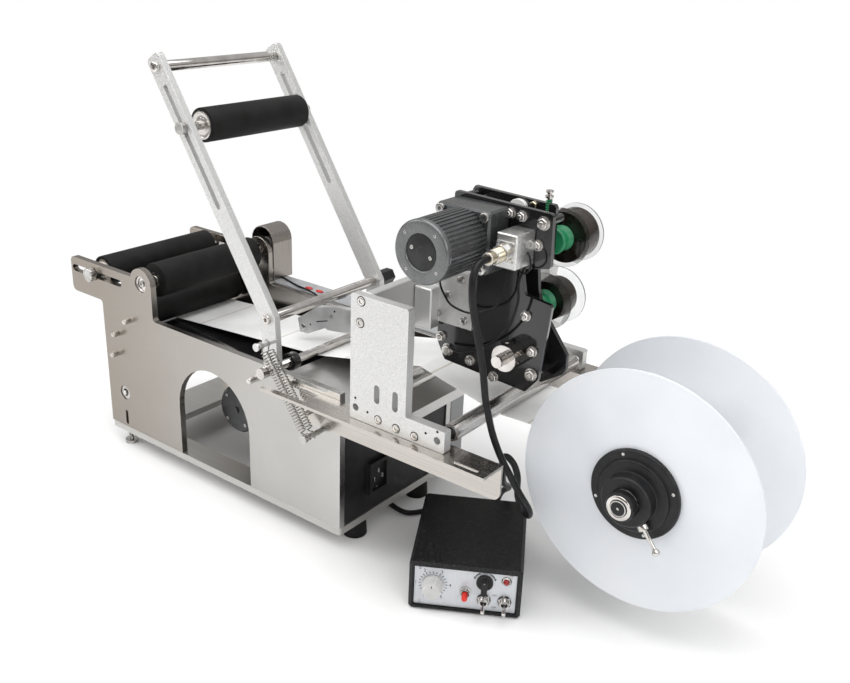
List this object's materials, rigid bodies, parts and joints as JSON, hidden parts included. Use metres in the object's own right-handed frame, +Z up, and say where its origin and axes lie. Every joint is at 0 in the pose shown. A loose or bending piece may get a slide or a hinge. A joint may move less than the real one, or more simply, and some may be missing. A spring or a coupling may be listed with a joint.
{
  "type": "bottle labelling machine",
  "caption": "Table-top labelling machine for round bottles: bottle rollers, swinging press arm, label reel, ribbon date coder and separate control box.",
  "frame": {"origin": "on the ground, under the middle of the whole machine's outline", "axes": "+X towards the label reel, +Y towards the drive housing, +Z up"},
  "size_m": [0.883, 0.2954, 0.5079],
  "materials": {
    "aluminium": "satin",
    "steel": "brushed",
    "chrome": "polished",
    "rubber": "matt",
    "black_metal": "satin",
    "grey_metal": "satin",
    "motor_grey": "satin",
    "frosted": "frosted",
    "clear": "clear",
    "paper": "matt",
    "red": "gloss",
    "light_plastic": "satin",
    "black_plastic": "satin"
  },
  "bodies": {
    "frame": {"base_plate": "aluminium", "levelling_foot_near": "steel", "levelling_foot_far": "steel", "rubber_foot_near": "rubber", "rubber_foot_far": "rubber", "near_side_plate": "aluminium", "far_side_plate": "aluminium", "table_plate": "steel", "peel_plate": "black_metal", "front_panel": "black_metal", "drive_housing": "grey_metal", "drive_cover": "steel", "drive_motor": "black_metal", "pivot_shaft": "chrome", "spring_outer": "steel", "spring_inner": "steel", "near_rail": "steel", "far_rail": "steel", "near_bracket": "aluminium", "far_bracket": "aluminium", "cross_plate": "aluminium", "reel_shaft": "steel", "label_web": "paper", "coder_near_cheek": "black_metal", "coder_far_cheek": "black_metal", "coder_mount": "aluminium", "coder_motor": "motor_grey", "coder_gearbox": "motor_grey", "coder_block": "aluminium", "label_sensor": "grey_metal", "box_case": "black_metal", "coder_cord": "rubber", "power_cord": "rubber"},
    "press_arm": {"near_arm": "aluminium", "far_arm": "aluminium", "handle_bar": "chrome", "lower_bar": "chrome"},
    "knob": {"arm_knob": "black_plastic"},
    "press_axle_body": {"press_axle": "steel"},
    "press_roller_body": {"press_roller": "rubber"},
    "adjustable_axle_body": {"adjustable_axle": "steel"},
    "adjustable_roller_body": {"adjustable_roller": "rubber"},
    "fixed_roller_body": {"fixed_roller": "rubber"},
    "pull_roller_body": {"pull_roller": "rubber"},
    "guide_rear_body": {"guide_roller_rear": "steel"},
    "guide_front_body": {"guide_roller_front": "steel"},
    "reel": {"far_disc": "frosted"},
    "reel_near": {"near_disc": "frosted", "reel_flange": "black_metal"},
    "clamp_screw": {"reel_clamp": "steel"},
    "ribbon_upper_body": {"ribbon_spool_upper": "clear"},
    "ribbon_lower_body": {"ribbon_spool_lower": "clear"},
    "feed_body": {"feed_collar": "chrome"},
    "cam_body": {"coder_cam": "steel"},
    "stamp_body": {"stamp_head": "steel"},
    "speed_body": {"speed_knob": "light_plastic"},
    "selector_body": {"selector_knob": "black_plastic"},
    "toggle_left_body": {"toggle_left": "chrome"},
    "toggle_right_body": {"toggle_right": "chrome"},
    "button_body": {"box_button": "red"}
  },
  "joints": [
    {"name": "press_arm_swing", "type": "hinge", "parent": "frame", "child": "press_arm", "pos_m": [-0.0915, -0.01465, 0.186], "axis": [0, -1, 0], "range_deg": [0, 38], "deforming": ["spring_outer", "spring_inner"]},
    {"name": "arm_knob_turn", "type": "hinge", "parent": "press_arm", "child": "knob", "pos_m": [-0.0945, 0.08535, 0.245], "axis": [0, 1, 0], "range_deg": [0, 180]},
    {"name": "press_roller_slide", "type": "slide", "parent": "press_arm", "child": "press_axle_body", "axis": [0.5469, 0, -0.8372], "range_m": [-0.044, 0.09]},
    {"name": "press_roller_spin", "type": "hinge", "parent": "press_axle_body", "child": "press_roller_body", "pos_m": [-0.21734, -0.01465, 0.43306], "axis": [0, 1, 0], "continuous": true},
    {"name": "adjustable_roller_slide", "type": "slide", "parent": "frame", "child": "adjustable_axle_body", "axis": [1, 0, 0], "range_m": [-0.036, 0.05]},
    {"name": "adjustable_roller_spin", "type": "hinge", "parent": "adjustable_axle_body", "child": "adjustable_roller_body", "pos_m": [-0.3965, -0.01465, 0.228], "axis": [0, 1, 0], "continuous": true},
    {"name": "fixed_roller_spin", "type": "hinge", "parent": "frame", "child": "fixed_roller_body", "pos_m": [-0.3025, -0.01465, 0.2365], "axis": [0, 1, 0], "continuous": true},
    {"name": "pull_roller_spin", "type": "hinge", "parent": "frame", "child": "pull_roller_body", "pos_m": [-0.3475, -0.01465, 0.179], "axis": [0, 1, 0], "continuous": true},
    {"name": "guide_rear_spin", "type": "hinge", "parent": "frame", "child": "guide_rear_body", "pos_m": [0.058, -0.01465, 0.2005], "axis": [0, 1, 0], "continuous": true},
    {"name": "guide_front_spin", "type": "hinge", "parent": "frame", "child": "guide_front_body", "pos_m": [0.159, -0.01465, 0.1985], "axis": [0, 1, 0], "continuous": true},
    {"name": "reel_spin", "type": "hinge", "parent": "frame", "child": "reel", "pos_m": [0.3205, 0.01535, 0.163], "axis": [0, 1, 0], "continuous": true},
    {"name": "reel_width_slide", "type": "slide", "parent": "reel", "child": "reel_near", "axis": [0, -1, 0], "range_m": [0, 0.007]},
    {"name": "reel_clamp_turn", "type": "hinge", "parent": "reel_near", "child": "clamp_screw", "pos_m": [0.3205, -0.05395, 0.163], "axis": [0.6018, 0, -0.7986], "range_deg": [0, 180]},
    {"name": "ribbon_upper_spin", "type": "hinge", "parent": "frame", "child": "ribbon_upper_body", "pos_m": [0.188, 0.01535, 0.37], "axis": [0, 1, 0], "continuous": true},
    {"name": "ribbon_lower_spin", "type": "hinge", "parent": "frame", "child": "ribbon_lower_body", "pos_m": [0.1755, 0.01535, 0.3015], "axis": [0, 1, 0], "continuous": true},
    {"name": "ribbon_feed_spin", "type": "hinge", "parent": "frame", "child": "feed_body", "pos_m": [0.1795, -0.03465, 0.265], "axis": [0, 1, 0], "continuous": true},
    {"name": "coder_cam_turn", "type": "hinge", "parent": "frame", "child": "cam_body", "pos_m": [0.1333, -0.02465, 0.3771], "axis": [0, 1, 0], "range_deg": [0, 170]},
    {"name": "stamp_slide", "type": "slide", "parent": "frame", "child": "stamp_body", "axis": [0, 0, -1], "range_m": [0, 0.01133]},
    {"name": "speed_knob_turn", "type": "hinge", "parent": "frame", "child": "speed_body", "pos_m": [0.15534, -0.12558, 0.031], "axis": [0.5075, -0.8616, 0], "range_deg": [-150, 150]},
    {"name": "selector_turn", "type": "hinge", "parent": "frame", "child": "selector_body", "pos_m": [0.20015, -0.09919, 0.0395], "axis": [0.5075, -0.8616, 0], "range_deg": [-60, 60]},
    {"name": "toggle_left_flip", "type": "hinge", "parent": "frame", "child": "toggle_left_body", "pos_m": [0.20218, -0.10264, 0.0185], "axis": [-0.8616, -0.5075, 0], "range_deg": [0, 24]},
    {"name": "toggle_right_flip", "type": "hinge", "parent": "frame", "child": "toggle_right_body", "pos_m": [0.22027, -0.09198, 0.0185], "axis": [-0.8616, -0.5075, 0], "range_deg": [0, 24]},
    {"name": "box_button_press", "type": "slide", "parent": "frame", "child": "button_body", "axis": [-0.5075, 0.8616, 0], "range_m": [0, 0.0025], "stiffness_N_per_m": 200}
  ],
  "couplings": [
    {"joint": "pull_roller_spin", "follows": "fixed_roller_spin", "ratio": 1.2},
    {"joint": "coder_cam_turn", "follows": "stamp_slide", "rad_per_m": 261.8}
  ]
}
